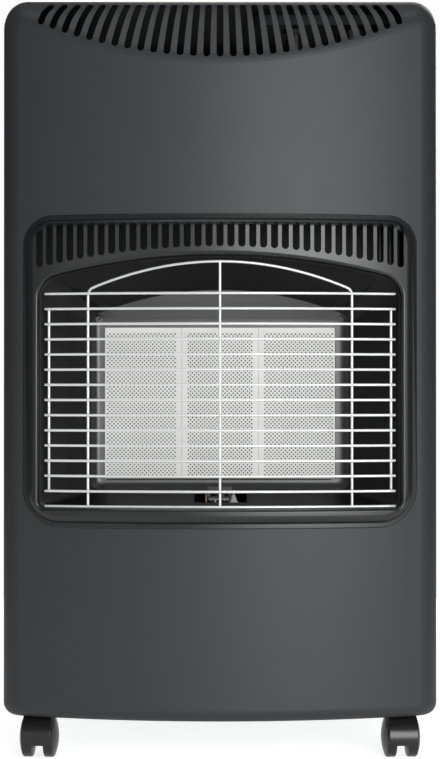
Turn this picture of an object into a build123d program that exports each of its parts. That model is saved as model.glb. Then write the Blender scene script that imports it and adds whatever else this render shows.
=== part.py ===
from build123d import *
import os
from math import asin, cos, degrees, pi, radians, sin, sqrt, tan

# Portable gas cabinet heater, millimetres. Origin on the floor under the middle, +Z up, front towards -Y.

# Overall cabinet
width = 422.0
height = 742.0
depth = 450.0
sheet = 1.2
clearance = 0.5

# Front panel: bowed in plan, rolled over into the top
bezel_proud = 9.0
bow_radius = 571.0
front_corner_radius = 26.0
top_side_radius = 22.0
skirt_radius = 12.0
skirt_z = 42.5
skirt_flange = 15.0
crown_radius = 76.0
shoulder_angle = radians(53)
shoulder_drop = 67.0
front_shell_depth = 105.0
tongue = 12.0

# Fan of hot-air slots in the rolled top
fan_count = 29
fan_pitch = 12.65
fan_slot_width = 6.6
fan_bottom_drop = 64.5
fan_top_drop = 8.0
fan_radius = 435.0
fan_bend = 0.1
fan_end_depth = 60.0

# Bezel round the firebox
bezel_half_width = 189.5
bezel_bottom_z = 226.4
bezel_top_z = 525.6
bezel_top_corner = 28.0
bezel_bottom_corner = 37.0
bezel_sheet = 1.5
bezel_foot_width = 4.5
bezel_foot_proud = 1.8
bezel_foot_radius = 1.0
bezel_roll_radius = 8.5
mouth_edge_radius = 2.8
lip_return_depth = 30.0
vent_count = 35
vent_pitch = 10.15
vent_width = 6.8
vent_top_z = 517.0
vent_bottom_z = 493.5
vent_bottom_radius = 800.0
aperture_margin = 10.0

# Firebox mouth, liner and burner frame
mouth_half_width = 173.5
mouth_bottom_z = 245.0
mouth_top_z = 487.0
mouth_arch_radius = 648.0
mouth_bottom_corner = 7.5
mouth_top_corner = 22.0
liner_flange = 4.0
frame_half_width = 126.0
frame_bottom_z = 260.5
frame_top_z = 449.0
frame_depth = 60.0
frame_corner = 9.0
frame_bevel = 6.0
frame_hood = 22.5

# Burner
plaque_count = 3
plaque_width = 75.0
plaque_height = 147.5
plaque_thickness = 13.0
plaque_gap = 0.2
plaque_bottom_z = 271.7
plaque_seat = 3.0
chamber_depth = 24.0
burner_wall = 2.0
venturi_bore = 8.0
venturi_wall = 1.0
venturi_length = 62.0
venturi_bell = 13.0
injector_gap = 8.0
injector_across_flats = 11.0
injector_length = 26.0
bracket_width = 190.0

# Wire guard
wire = 2.6
guard_wire_count = 15
guard_top_z = 450.2
guard_pitch = 14.53
guard_half_length = 168.3
guard_bow_radius = 700.0
guard_depth = 4.0
outer_upright_x = 164.2
inner_upright_x = 126.2
guard_arch_apex_z = 480.5
guard_arch_shoulder_z = 454.0

# Pilot group
pilot_depth = 47.0
pilot_base_z = 236.0
pilot_left_x = -25.0
pilot_right_x = 26.0
pilot_half_depth = 10.0
pilot_items = {"thermocouple": (-13.6, 1.4), "pilot_burner": (-5.0, 3.0), "spark_electrode": (13.2, 3.0)}
pilot_barrel = (-11.6, 9.4)
pilot_barrel_z = 251.8
pilot_barrel_radius = 2.8
pilot_plate = (-12.2, 11.5)
pilot_plate_top_z = 264.0
pilot_stagger = 2.5

# Heat shield, base tray, rear closure
shield_depth = 122.0
shield_top_z = 630.0
tray_flange = 22.0
platform_radius = 150.0
platform_rise = 6.0
rear_seam_y = 180.0
rear_chamfer = 29.0
rear_top_drop = 2.0
rail_z = 700.0
tab_width = 26.0
tab_x = 130.0
tab_reach = 9.2
tab_drop = 14.0

# Controls in the top
recess_x = 112.0
recess_width = 160.0
recess_y = -38.0
recess_length = 72.0
recess_depth = 10.0
knob_x = 140.0
knob_radius = 22.0
knob_height = 17.0
knob_travel = 4.0
igniter_x = 78.0
igniter_radius = 9.0
button_radius = 7.0
button_height = 9.0
button_travel = 6.0
running = 0.05
spindle_radius = 4.0
plunger_radius = 6.0
bonnet_radius = 12.0
valve_size = (44.0, 40.0, 46.0)
bonnet_height = 16.0
pipe_radius = 3.0
pipe_bend = 9.0
pilot_pipe_radius = 2.0
inlet_radius = 4.0
inlet_length = 30.0

# Castors
castor_x = 175.5
castor_front_depth = 76.0
castor_rear_y = 166.0
castor_toe = 4.0
castor_trail = 14.0
wheel_radius = 20.0
wheel_tread = 10.9
wheel_dome = 4.0
wheel_taper = 2.1
wheel_hub_radius = 8.0
web_half = 3.45
wheel_gap = 0.45
hood_half = 14.2
hood_gap = 0.8
hood_edge = 0.7
hood_reach = 6.0
hood_wall = 1.8
axle_radius = 3.0
stem_radius = 5.5
stem_length = 30.0
socket_wall = 2.5
socket_flange_radius = 14.0
castor_headroom = 0.3

# Screws that hold the casing's flanges to the tray
screw_radius = 2.0
screw_head_radius = 4.0
screw_head_height = 2.0
screw_ys = (-60.0, 40.0, 140.0)

# Places worked out from the sizes above
panel_front = -depth / 2 + bezel_proud
bow_centre_y = panel_front + bow_radius
seam_y = panel_front + front_shell_depth
slope_run = (shoulder_drop - crown_radius * (1 - cos(shoulder_angle))) / tan(shoulder_angle)
crown_y = panel_front + slope_run + crown_radius * sin(shoulder_angle)
tray_z = skirt_z + sheet
floor_z = tray_z + sheet
recess_z = height - recess_depth
plaque_depth = frame_depth + frame_bevel
plaque_pitch = plaque_width + plaque_gap
field_half = (plaque_count * plaque_pitch - plaque_gap) / 2
body_depth = plaque_depth + sheet
body_rear = body_depth + plaque_thickness + chamber_depth
venturi_depth = body_depth + plaque_thickness + chamber_depth / 2
venturi_foot_z = plaque_bottom_z - burner_wall - venturi_length
injector_top_z = venturi_foot_z - injector_gap
bracket_z = injector_top_z - injector_length / 2
shield_y = panel_front + shield_depth
platform_y = (shield_y + sheet + depth / 2 - tab_reach - sheet) / 2
valve_y = recess_y
valve_top_z = recess_z - sheet - bonnet_height
plunger_top_z = valve_top_z - 6.0


def depth_y(d):
    """Y of a plane d behind the foremost line of the front panel."""
    return panel_front + d


def upright(radius, x, y, low, high):
    """A vertical cylinder from low to high."""
    return Pos(x, y, low) * Cylinder(radius, high - low, align=(Align.CENTER, Align.CENTER, Align.MIN))


def block(x0, x1, y0, y1, z0, z1):
    """A box between two corners."""
    return Pos(x0, y0, z0) * Box(x1 - x0, y1 - y0, z1 - z0, align=Align.MIN)


def front_face(outline, y):
    """A face drawn in X and Z, placed at y; it extrudes towards +Y."""
    return Plane((0, y, 0), x_dir=(1, 0, 0), z_dir=(0, -1, 0)) * outline


def through(outline, y0, y1):
    """A face drawn in X and Z, extruded from y0 back to y1."""
    return extrude(front_face(outline, y1), y1 - y0)


def bow_cylinder(proud):
    """Everything behind the bowed front surface, raised by proud."""
    return upright(bow_radius + proud, 0, bow_centre_y, 0, height)


# Casing form


def casing_plan(inset, rear):
    """Plan of the casing: bowed front, rounded front corners, square rear."""
    half = width / 2 - inset
    radius = bow_radius - inset
    corner_y = bow_centre_y - sqrt(radius**2 - half**2)
    outline = ThreePointArc((-half, corner_y), (0, bow_centre_y - radius), (half, corner_y))
    outline += Polyline((half, corner_y), (half, rear), (-half, rear), (-half, corner_y))
    plan = make_face(outline.edges())
    return fillet(plan.vertices().group_by(Axis.Y)[0], front_corner_radius - inset)


def casing_side(inset, rear):
    """Side profile of the casing: sloping shoulder that rolls over a crown into the flat top."""
    radius = crown_radius - inset
    a = shoulder_angle
    front = panel_front - 2 * front_corner_radius
    tangent = (crown_y - radius * sin(a), height - crown_radius + radius * cos(a))
    middle = (crown_y - radius * sin(a / 2), height - crown_radius + radius * cos(a / 2))
    top = (crown_y, height - inset)
    start = (front, tangent[1] - (tangent[0] - front) * tan(a))
    outline = Line(start, tangent) + ThreePointArc(tangent, middle, top)
    outline += Polyline(top, (rear, height - inset), (rear, skirt_z + inset), (front, skirt_z + inset), start)
    return make_face(outline.edges())


def casing_form(inset, rear):
    """The whole casing as a solid, from the front to rear, drawn in by inset."""
    plan = extrude(Pos(0, 0, skirt_z + inset) * casing_plan(inset, rear), height)
    side = extrude(Plane.YZ.offset(-width) * casing_side(inset, rear), 2 * width)
    form = plan & side
    lengthwise = form.edges().filter_by(Axis.X, reverse=True).filter_by(Axis.Z, reverse=True)
    form = fillet(lengthwise.filter_by(lambda edge: edge.center().Z > height / 2), top_side_radius - inset)
    foot = form.edges().filter_by(Axis.X, reverse=True)
    foot = foot.filter_by(lambda edge: edge.bounding_box().max.Z < skirt_z + inset + 0.01)
    return fillet(foot, skirt_radius - inset)


def casing_shell(rear):
    """The casing as sheet, open at the rear, its underside cut back to an in-turned flange."""
    shell = casing_form(0, rear) - casing_form(sheet, rear + sheet)
    window = extrude(Pos(0, 0, skirt_z - 1) * casing_plan(skirt_flange, rear + sheet), 2 + sheet)
    return shell - window


# Front panel, side panels and top


def fan_slots():
    """Cutters for the slots that fan out across the rolled top, each bent slightly outwards."""
    centre_z = height - fan_bottom_drop + fan_radius
    top_z = height - fan_top_drop - fan_slot_width / 2
    cutters = []
    for index in range(-(fan_count // 2), fan_count // 2 + 1):
        angle = index * fan_pitch / fan_radius
        low = (fan_radius * sin(angle), centre_z - fan_radius * cos(angle))
        high = ((centre_z - top_z) * tan(angle), top_z)
        middle = ((low[0] + high[0]) / 2 + index * fan_bend, (low[1] + high[1]) / 2)
        if index:
            slot = SlotArc(ThreePointArc(low, middle, high), fan_slot_width)
        else:
            slot = Pos(middle) * SlotOverall(high[1] - low[1] + fan_slot_width, fan_slot_width, rotation=90)
        cutters.append(through(slot, panel_front - 1, depth_y(fan_end_depth)))
    return cutters


def bezel_outline(inset):
    """Front view of the bezel: a rounded rectangle with larger radii below."""
    half = bezel_half_width - inset
    low = bezel_bottom_z + inset
    high = bezel_top_z - inset
    outline = make_face(Polyline((-half, low), (half, low), (half, high), (-half, high), close=True).edges())
    outline = fillet(outline.vertices().group_by(Axis.Y)[0], bezel_bottom_corner - inset)
    return fillet(outline.vertices().group_by(Axis.Y)[-1].filter_by(
        lambda v: abs(v.Y - high) < 0.01), bezel_top_corner - inset)


def front_panel():
    """Bowed fascia rolled into the top, with the fan slots and the opening behind the bezel."""
    panel = casing_shell(seam_y) - fan_slots()
    return panel - through(bezel_outline(aperture_margin), panel_front - 5, depth_y(70))


def rear_half():
    """The casing's sheet behind the front panel's seam."""
    shell = casing_shell(rear_seam_y)
    return shell & block(-width, width, seam_y + clearance, rear_seam_y, 0, height + 1)


def side_panel(side):
    """One side: flat sheet with a tongue inside the front panel and an in-turned rear flange."""
    split_z = height - top_side_radius - 2
    half = width / 2
    x0, x1 = sorted((0, side * (half + 1)))
    panel = rear_half() & block(x0, x1, -depth, depth, 0, split_z)
    inner = half - sheet
    strip_x = sorted((side * (inner - sheet), side * inner))
    strip_top = height - shoulder_drop - crown_radius / 2
    panel += block(*strip_x, seam_y - tongue, seam_y + tongue, tray_z + tray_flange + 1, strip_top)
    flange_x = sorted((side * (inner - tongue), side * inner))
    panel += block(*flange_x, rear_seam_y - sheet, rear_seam_y, floor_z + tray_flange + 2, split_z)
    screw_x = side * (half - skirt_radius)
    return panel - [upright(screw_radius, screw_x, y, 0, floor_z) for y in screw_ys]


def control_recess(inset):
    """The pressing that holds the controls, drawn in by inset."""
    outline = RectangleRounded(recess_width - 2 * inset, recess_length - 2 * inset, 14 - inset)
    return extrude(Pos(recess_x, recess_y, recess_z - sheet + inset) * outline, recess_depth + 2 * sheet)


def top_panel():
    """Flat top with rounded sides, the control recess, a front tongue and a rear flange."""
    split_z = height - top_side_radius - 2
    panel = rear_half() & block(-width, width, -depth, depth, split_z + clearance, height + 1)
    inner = width / 2 - sheet - top_side_radius
    under = height - sheet
    panel += block(-inner, inner, seam_y - tongue, seam_y + tongue, under - sheet, under)
    panel += block(-inner, inner, rear_seam_y - sheet, rear_seam_y, under - tongue, under)
    flat = block(-width, width, -depth, depth, 0, height)
    panel += (control_recess(0) & flat) - control_recess(sheet)
    panel -= control_recess(sheet)
    panel -= upright(spindle_radius + 1, knob_x, recess_y, recess_z - 2 * sheet, height)
    return panel - upright(igniter_radius, igniter_x, recess_y, recess_z - 2 * sheet, height)


# Base tray, heat shield, rear closure


def rear_plan(inset):
    """Plan of the rear panel: short sides, chamfered corners, flat back."""
    half = width / 2 - 1 - inset
    back = depth / 2 - inset
    cut = rear_chamfer - inset * tan(radians(22.5))
    start = rear_seam_y + clearance
    points = [(-half, start), (-half, back - cut), (-half + cut, back), (half - cut, back), (half, back - cut)]
    return make_face(Polyline(*points, (half, start), close=True).edges())


def rear_outline(inset):
    """Rear view of the rear panel: corners rounded like the casing's."""
    half = width / 2 - 1 - inset
    low = skirt_z + min(inset, sheet)
    high = height - rear_top_drop - inset
    outline = make_face(Polyline((-half, low), (half, low), (half, high), (-half, high), close=True).edges())
    outline = fillet(outline.vertices().group_by(Axis.Y)[0], skirt_radius - 1 - inset)
    top = outline.vertices().filter_by(lambda v: abs(v.Y - high) < 0.01)
    return fillet(top, top_side_radius - 1 - inset)


def rear_form(inset):
    """The rear panel as a solid, drawn in by inset, with a neck forward to the seam."""
    neck = Pos(0, rear_seam_y) * Rectangle(width - 2 - 2 * inset, 2 * clearance + 0.2)
    plan = extrude(Pos(0, 0, skirt_z) * (rear_plan(inset) + neck), height)
    return plan & through(rear_outline(inset), rear_seam_y - clearance, depth)


def tray_form(inset):
    """The base tray as a solid: it fills the casing and reaches into the rear panel."""
    low = block(-width, width, -depth, depth, 0, tray_z + tray_flange)
    return (casing_form(sheet + inset, rear_seam_y) & low) + (rear_form(sheet + clearance + inset) & low)


def base_tray():
    """Pressed tray with an upstanding flange, a raised cylinder platform and slots for air and the rear tabs."""
    tray = tray_form(0)
    tray -= tray_form(sheet) & block(-width, width, -depth, depth, floor_z, height)
    tray &= block(-width, width, -depth, depth, 0, tray_z + tray_flange)
    low_lip = platform_rise + 2
    tray -= block(-width, width, rear_seam_y - sheet, depth, floor_z + low_lip, height)
    tray += upright(platform_radius, 0, platform_y, floor_z, floor_z + platform_rise)
    tray -= upright(platform_radius - sheet, 0, platform_y, tray_z - 1, floor_z + platform_rise - sheet)
    slot = SlotOverall(44, 7)
    for column in range(-2, 3):
        for row in range(2):
            place = Pos(column * 62, depth_y(52 + row * 34), tray_z - 1)
            tray -= extrude(place * slot, 2 + sheet)
    for x in (-castor_x, castor_x):
        for y in (depth_y(castor_front_depth), castor_rear_y):
            tray -= upright(stem_radius + running + socket_wall, x, y, 0, floor_z + 1)
        tray -= [upright(screw_radius, x / abs(x) * (width / 2 - skirt_radius), y, 0, floor_z + 1) for y in screw_ys]
    return tray - tab_slots(tray_z, 2 * sheet)


def tab_slots(z, tall):
    """Slots that take the rear panel's tabs."""
    y = depth / 2 - sheet - tab_reach
    half = tab_width / 2 + clearance
    return [block(x - half, x + half, y - clearance, y + sheet + clearance, z - sheet, z + tall) for x in (-tab_x, tab_x)]


def heat_shield():
    """Upright sheet between the burner and the cylinder bay, with a foot on the tray."""
    half = width / 2 - 2 * sheet
    shield = block(-half, half, shield_y, shield_y + sheet, floor_z, shield_top_z)
    shield += block(-half + 4, half - 4, shield_y - tongue, shield_y, floor_z, floor_z + sheet)
    shield += block(-half, half, shield_y - tongue, shield_y, shield_top_z - sheet, shield_top_z)
    return shield & casing_form(2 * sheet, rear_seam_y)


def rear_rail():
    """Angle across the back that ties the sides and takes the rear panel's top tabs."""
    half = width / 2 - sheet
    y = rear_seam_y - sheet
    rail = block(-half, half, y - sheet, y, rail_z - 22, rail_z)
    inner = half - rear_chamfer - tongue / 2
    ledge = depth / 2 - sheet - tab_reach + 2 * sheet + 3
    rail += block(-inner, inner, y - sheet, ledge, rail_z - sheet, rail_z)
    return rail - tab_slots(rail_z - sheet, 2 * sheet)


def rear_tabs(z):
    """Joggled tabs inside the rear panel that drop into slots."""
    inner = depth / 2 - sheet
    y = inner - tab_reach
    half = tab_width / 2
    tabs = []
    for x in (-tab_x, tab_x):
        tabs.append(block(x - half, x + half, y, inner, z + tab_drop - sheet, z + tab_drop))
        tabs.append(block(x - half, x + half, y, y + sheet, z - 3 * sheet, z + tab_drop))
    return tabs


def rear_panel():
    """Lift-off rear panel: a shallow tray with chamfered corners and rows of vent slots."""
    panel = (rear_form(0) - rear_form(sheet)) & block(-width, width, rear_seam_y + clearance, depth, skirt_z + 2, height)
    panel += rear_tabs(tray_z) + rear_tabs(rail_z - sheet)
    slot = SlotOverall(70, 5)
    for row in range(7):
        for column in (-1, 0, 1):
            for base in (110, 600):
                panel -= through(Pos(column * 95, base + row * 12) * slot, depth / 2 - 2 * sheet, depth / 2 + 1)
    return panel


def casing_screws():
    """Pan-head screws from below through the sides' flanges into the tray."""
    screws = []
    for side in (-1, 1):
        for y in screw_ys:
            x = side * (width / 2 - skirt_radius)
            head = upright(screw_head_radius, x, y, skirt_z - screw_head_height, skirt_z)
            head = fillet(head.edges().group_by(Axis.Z)[0], screw_head_height * 0.6)
            screws.append(head + upright(screw_radius, x, y, skirt_z, floor_z + 3))
    return screws


# Bezel, liner and burner frame


def mouth_outline(offset):
    """Front view of the firebox mouth, arched on top, grown by offset."""
    half = mouth_half_width + offset
    low = mouth_bottom_z - offset
    radius = mouth_arch_radius + offset
    centre_z = mouth_top_z - mouth_arch_radius
    shoulder = centre_z + sqrt(radius**2 - half**2)
    outline = Polyline((-half, shoulder), (-half, low), (half, low), (half, shoulder))
    outline += ThreePointArc((half, shoulder), (0, centre_z + radius), (-half, shoulder))
    face = make_face(outline.edges())
    face = fillet(face.vertices().group_by(Axis.Y)[0], mouth_bottom_corner + offset)
    corners = face.vertices().filter_by(lambda v: abs(v.Y - shoulder) < 0.01 and abs(abs(v.X) - half) < 0.01)
    return fillet(corners, mouth_top_corner + offset)


def bezel_vents():
    """Cutters for the row of upright vent slots, evenly spaced along the bow and square to it."""
    cutters = []
    for index in range(vent_count):
        turn = (index - vent_count // 2) * vent_pitch / bow_radius
        x = bow_radius * sin(turn)
        low = vent_bottom_z - vent_bottom_radius + sqrt(vent_bottom_radius**2 - x**2)
        length = vent_top_z - low
        slot = SlotOverall(length, vent_width, rotation=90)
        cutter = through(Pos(0, low + length / 2) * slot, panel_front - 2 * bezel_proud, panel_front + sheet)
        cutters.append(Pos(0, bow_centre_y) * Rot(0, 0, degrees(turn)) * Pos(0, -bow_centre_y) * cutter)
    return cutters


def bowed_block(outline, proud, back, radius):
    """A front view extruded from the bowed surface raised by proud, its front edges rounded."""
    form = through(outline, panel_front - bezel_proud - 1, back) & bow_cylinder(proud)
    front = form.edges().filter_by(lambda edge: edge.bounding_box().max.Y < back - 1)
    return fillet(front, radius) if radius else form


def bezel():
    """Black surround: a thin foot on the bowed panel, a rolled face and a rounded mouth returned into the firebox."""
    back = depth_y(60)
    skin = bezel_sheet
    foot = bowed_block(bezel_outline(0), bezel_foot_proud, back, bezel_foot_radius)
    face = bowed_block(bezel_outline(bezel_foot_width), bezel_proud, back, bezel_roll_radius)
    hollow = bowed_block(bezel_outline(bezel_foot_width + skin), bezel_proud - skin, back, bezel_roll_radius - skin)
    mouth = through(mouth_outline(0), panel_front - bezel_proud - 1, back + 1)
    tube = through(mouth_outline(skin), panel_front - bezel_proud - 1, depth_y(lip_return_depth))
    face -= mouth
    rim = face.edges().filter_by(lambda edge: edge.bounding_box().max.Y < depth_y(24))
    rim = rim.filter_by(lambda edge: abs(edge.center().X) < mouth_half_width + 0.1)
    rim = rim.filter_by(lambda edge: mouth_bottom_z - 0.1 < edge.center().Z < mouth_top_z + 0.1)
    face = fillet(rim, mouth_edge_radius)
    surround = (foot - mouth) + face - (hollow - tube) - (bow_cylinder(0) - tube)
    return surround - bezel_vents()


def frame_outline(inset, top_inset):
    """Front view of the burner frame's rounded rectangle, drawn in by inset and, on top, by top_inset."""
    half = frame_half_width - inset
    low, high = frame_bottom_z + inset, frame_top_z - top_inset
    return Pos(0, (low + high) / 2) * RectangleRounded(2 * half, high - low, frame_corner - inset / 2)


def funnel(front_outline, front_d, rear_outline, rear_d):
    """Straight-sided loft between two outlines at two depths."""
    return loft([front_face(front_outline, depth_y(front_d)), front_face(rear_outline, depth_y(rear_d))], ruled=True)


def firebox_liner():
    """Black funnel of sheet from the bezel's return back to the burner frame."""
    front, rear = lip_return_depth, frame_depth
    outer = funnel(mouth_outline(0), front, frame_outline_arched(-sheet), rear)
    inner = funnel(mouth_outline(-sheet), front, frame_outline_arched(0), rear)
    flange = through(mouth_outline(liner_flange), depth_y(front), depth_y(front + sheet))
    flange -= through(mouth_outline(-sheet), depth_y(front) - 1, depth_y(front + sheet) + 1)
    liner = (outer + flange) - inner
    return liner - pilot_window()


def frame_outline_arched(inset):
    """The frame's rounded rectangle drawn with the same eight edges as the mouth, its top very slightly arched."""
    half = frame_half_width - inset
    low, high = frame_bottom_z + inset, frame_top_z - inset
    outline = Polyline((-half, high - 2), (-half, low), (half, low), (half, high - 2))
    outline += ThreePointArc((half, high - 2), (0, high), (-half, high - 2))
    face = make_face(outline.edges())
    face = fillet(face.vertices().group_by(Axis.Y)[0], frame_corner)
    corners = face.vertices().filter_by(lambda v: abs(v.Y - high + 2) < 0.01 and abs(abs(v.X) - half) < 0.01)
    return fillet(corners, frame_corner)


def pilot_window():
    """Gap in the liner's floor that the pilot group stands up through."""
    y = depth_y(pilot_depth)
    return block(pilot_left_x, pilot_right_x, y - pilot_half_depth, y + pilot_half_depth, 200, 300)


def burner_frame():
    """Pressed frame round the plaques: sloping rim, tall sloping hood on top, flat inner border."""
    rear = plaque_depth
    outer = funnel(frame_outline(-sheet, -sheet), frame_depth, frame_outline(frame_bevel - sheet, frame_hood - sheet), rear)
    inner = funnel(frame_outline(0, 0), frame_depth, frame_outline(frame_bevel, frame_hood), rear)
    border = through(frame_outline(frame_bevel - sheet, frame_hood - sheet), depth_y(rear), depth_y(rear + sheet))
    window = Pos(0, plaque_bottom_z + plaque_height / 2) * Rectangle(2 * field_half + 1, plaque_height + 1)
    return (outer - inner) + (border - through(window, depth_y(rear) - 1, depth_y(rear + sheet) + 1))


# Burner


def plaque(index):
    """One ceramic plaque: a plain tile with softened front edges."""
    x = (index - (plaque_count - 1) / 2) * plaque_pitch
    tile = block(x - plaque_width / 2, x + plaque_width / 2, depth_y(body_depth), depth_y(body_depth + plaque_thickness),
                 plaque_bottom_z, plaque_bottom_z + plaque_height)
    return chamfer(tile.faces().sort_by(Axis.Y)[0].edges(), 0.8)


def burner_body():
    """Cast body behind the plaques: a seat for each, a mixing chamber behind it and a socket for its venturi."""
    high = plaque_bottom_z + plaque_height
    half = field_half + burner_wall
    body = block(-half, half, depth_y(body_depth), depth_y(body_rear + burner_wall),
                 plaque_bottom_z - burner_wall, high + burner_wall)
    body = fillet(body.edges().filter_by(Axis.Y), 4)
    body -= block(-field_half, field_half, depth_y(body_depth) - 1, depth_y(body_depth + plaque_thickness),
                  plaque_bottom_z, high)
    for index in range(plaque_count):
        x = (index - (plaque_count - 1) / 2) * plaque_pitch
        reach = plaque_width / 2 - plaque_seat
        body -= block(x - reach, x + reach, depth_y(body_depth), depth_y(body_rear),
                      plaque_bottom_z + plaque_seat, high - plaque_seat)
        body -= upright(venturi_bore + venturi_wall, x, depth_y(venturi_depth), 0, plaque_bottom_z + plaque_seat + 1)
    return body


def venturi(index):
    """Mixing tube with a bell mouth at its foot."""
    x = (index - (plaque_count - 1) / 2) * plaque_pitch
    top = plaque_bottom_z + plaque_seat
    bore, outer, foot = venturi_bore, venturi_bore + venturi_wall, venturi_foot_z
    flare = venturi_bell - bore
    outline = Polyline((bore, foot + flare), (bore, top), (outer, top), (outer, foot + flare))
    outline += ThreePointArc((outer, foot + flare), (outer + flare * (1 - cos(pi / 4)), foot + flare * (1 - sin(pi / 4))),
                             (outer + flare, foot))
    outline += Line((outer + flare, foot), (bore + flare, foot))
    outline += ThreePointArc((bore + flare, foot), (bore + flare * (1 - cos(pi / 4)), foot + flare * (1 - sin(pi / 4))),
                             (bore, foot + flare))
    tube = revolve(Plane.XZ * make_face(outline.edges()), Axis.Z)
    return Pos(x, depth_y(venturi_depth), 0) * tube


def injectors():
    """Brass jets, one under each venturi, with a hexagon and a pointed nozzle."""
    jets = []
    y = depth_y(venturi_depth)
    low = injector_top_z - injector_length
    for index in range(plaque_count):
        x = (index - (plaque_count - 1) / 2) * plaque_pitch
        across = injector_across_flats / 2 / cos(pi / 6)
        hexagon = extrude(Pos(x, y, bracket_z + sheet) * RegularPolygon(across, 6), 7)
        nozzle = Pos(x, y, bracket_z + sheet + 7) * Cone(4, 1.6, injector_top_z - bracket_z - sheet - 7,
                                                          align=(Align.CENTER, Align.CENTER, Align.MIN))
        shank = upright(4, x, y, low, bracket_z + sheet)
        jets.append(hexagon + nozzle + shank - upright(1, x, y, low - 1, injector_top_z - 3)
                    - upright(0.4, x, y, low, injector_top_z + 1))
    return jets


def injector_bracket():
    """Angle on the heat shield that holds the jets under the venturis."""
    half = bracket_width / 2
    y0 = depth_y(venturi_depth) - 12
    bracket = block(-half, half, y0, shield_y, bracket_z, bracket_z + sheet)
    bracket += block(-half, half, shield_y - sheet, shield_y, bracket_z, bracket_z + 24)
    bracket += block(-half, half, y0, y0 + sheet, bracket_z - 8, bracket_z)
    for index in range(plaque_count):
        x = (index - (plaque_count - 1) / 2) * plaque_pitch
        bracket -= upright(4, x, depth_y(venturi_depth), bracket_z - 1, bracket_z + sheet + 1)
    return bracket


def pipe(points, bend, radius):
    """A round tube along straight runs joined by bends."""
    path = FilletPolyline(*points, radius=bend)
    return sweep(Plane(origin=path @ 0, z_dir=path % 0) * Circle(radius), path=path)


def gas_pipe(index):
    """Tube from a jet, along under the burner, up the right side and back into the valve."""
    x = (index - (plaque_count - 1) / 2) * plaque_pitch
    y = depth_y(venturi_depth)
    low = injector_top_z - injector_length
    order = plaque_count - 1 - index
    run_z = low - 16 - order * 11
    side_x = width / 2 - 42 + order * 9
    top_z = valve_top_z - valve_size[2] + 10 + order * 12
    valve_x = knob_x + valve_size[0] / 2
    points = [(x, y, low), (x, y, run_z), (side_x, y, run_z), (side_x, y, top_z),
              (side_x, valve_y, top_z), (valve_x, valve_y, top_z)]
    return pipe(points, pipe_bend if order else 5.5, pipe_radius)


# Wire guard


def octagon(radius):
    """Eight-sided wire section."""
    return RegularPolygon(radius, 8, rotation=22.5, major_radius=False)


def guard_horizontal_wires():
    """Fifteen bowed wires, one above the other."""
    sweep_angle = degrees(2 * asin(guard_half_length / guard_bow_radius))
    centre_y = depth_y(guard_depth) + guard_bow_radius
    section = Plane.XZ * (Pos(guard_bow_radius, 0) * octagon(wire / 2))
    arc = Rot(0, 0, -90 - sweep_angle / 2) * revolve(section, Axis.Z, sweep_angle)
    return [Pos(0, centre_y, guard_top_z - index * guard_pitch) * arc for index in range(guard_wire_count)]


def guard_y(x, behind):
    """Y of the guard's bowed surface at x, and so far behind it."""
    along = sqrt(guard_bow_radius**2 - x**2)
    return depth_y(guard_depth) + guard_bow_radius - along + behind * guard_bow_radius / along


def rod(points, bends):
    """A wire along straight runs joined by tangent arcs."""
    path = FilletPolyline(*points, radius=bends)
    return sweep(Plane(origin=path @ 0, z_dir=path % 0) * octagon(wire / 2), path=path)


def guard_upright_wires():
    """An arched loop, a centre upright and two outer uprights with legs bent back into the liner."""
    low = guard_top_z - (guard_wire_count - 1) * guard_pitch
    wires = []
    arch = []
    for share in (0.78, 0.4, 0.13):
        x = inner_upright_x * share
        rise = guard_arch_apex_z - guard_arch_shoulder_z
        arch.append((x, guard_y(x, wire), guard_arch_apex_z - rise * share**2))
    side_y = guard_y(inner_upright_x, wire)
    right = [(inner_upright_x, side_y, low - wire / 2), (inner_upright_x, side_y, guard_arch_shoulder_z)] + arch
    left = [(-x, y, z) for x, y, z in reversed(right)]
    bends = [8, 100, 200, 300, 300, 200, 100, 8]
    wires.append(rod(right + left, bends))
    apex_y = guard_y(0, wire)
    wires.append(Pos(0, apex_y, low - wire / 2) * extrude(octagon(wire / 2), guard_arch_apex_z - low))
    leg_high = guard_top_z - guard_pitch
    leg_low = low + guard_pitch
    for side in (-1, 1):
        x = side * outer_upright_x
        y = guard_y(x, wire)
        leg_y = depth_y(lip_return_depth + 2)
        wires.append(rod([(x, leg_y, leg_low), (x, y, leg_low), (x, y, leg_high), (x, leg_y, leg_high)], 3))
    return wires


# Pilot group


def pilot_bracket():
    """Folded bracket under the liner's window, with a pierced plate that stands behind the pilot."""
    y = depth_y(pilot_depth)
    bracket = block(pilot_left_x - sheet, pilot_right_x + sheet, y - pilot_half_depth, y + pilot_half_depth,
                    pilot_base_z, pilot_base_z + sheet)
    for x in (pilot_left_x - sheet, pilot_right_x):
        bracket += block(x, x + sheet, y - pilot_half_depth, y + pilot_half_depth, pilot_base_z, 262)
    bracket -= funnel(mouth_outline(0), lip_return_depth, frame_outline_arched(-sheet), frame_depth)
    left, right = pilot_plate
    rear = y + pilot_half_depth - sheet
    bracket += block(left, right, rear, rear + sheet, pilot_base_z, pilot_plate_top_z)
    bracket -= block(left + 3, right - 3, rear - 1, rear + sheet + 1, pilot_base_z + 5, pilot_plate_top_z - 5)
    for x, radius in pilot_items.values():
        bracket -= upright(radius, x, pilot_y(x), pilot_base_z - 1, pilot_base_z + sheet + 1)
    return bracket


def pilot_y(x):
    """The electrode stands a little in front of the line of the pilot and the thermocouple."""
    return depth_y(pilot_depth) + (-pilot_stagger if x > 0 else pilot_stagger)


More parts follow.
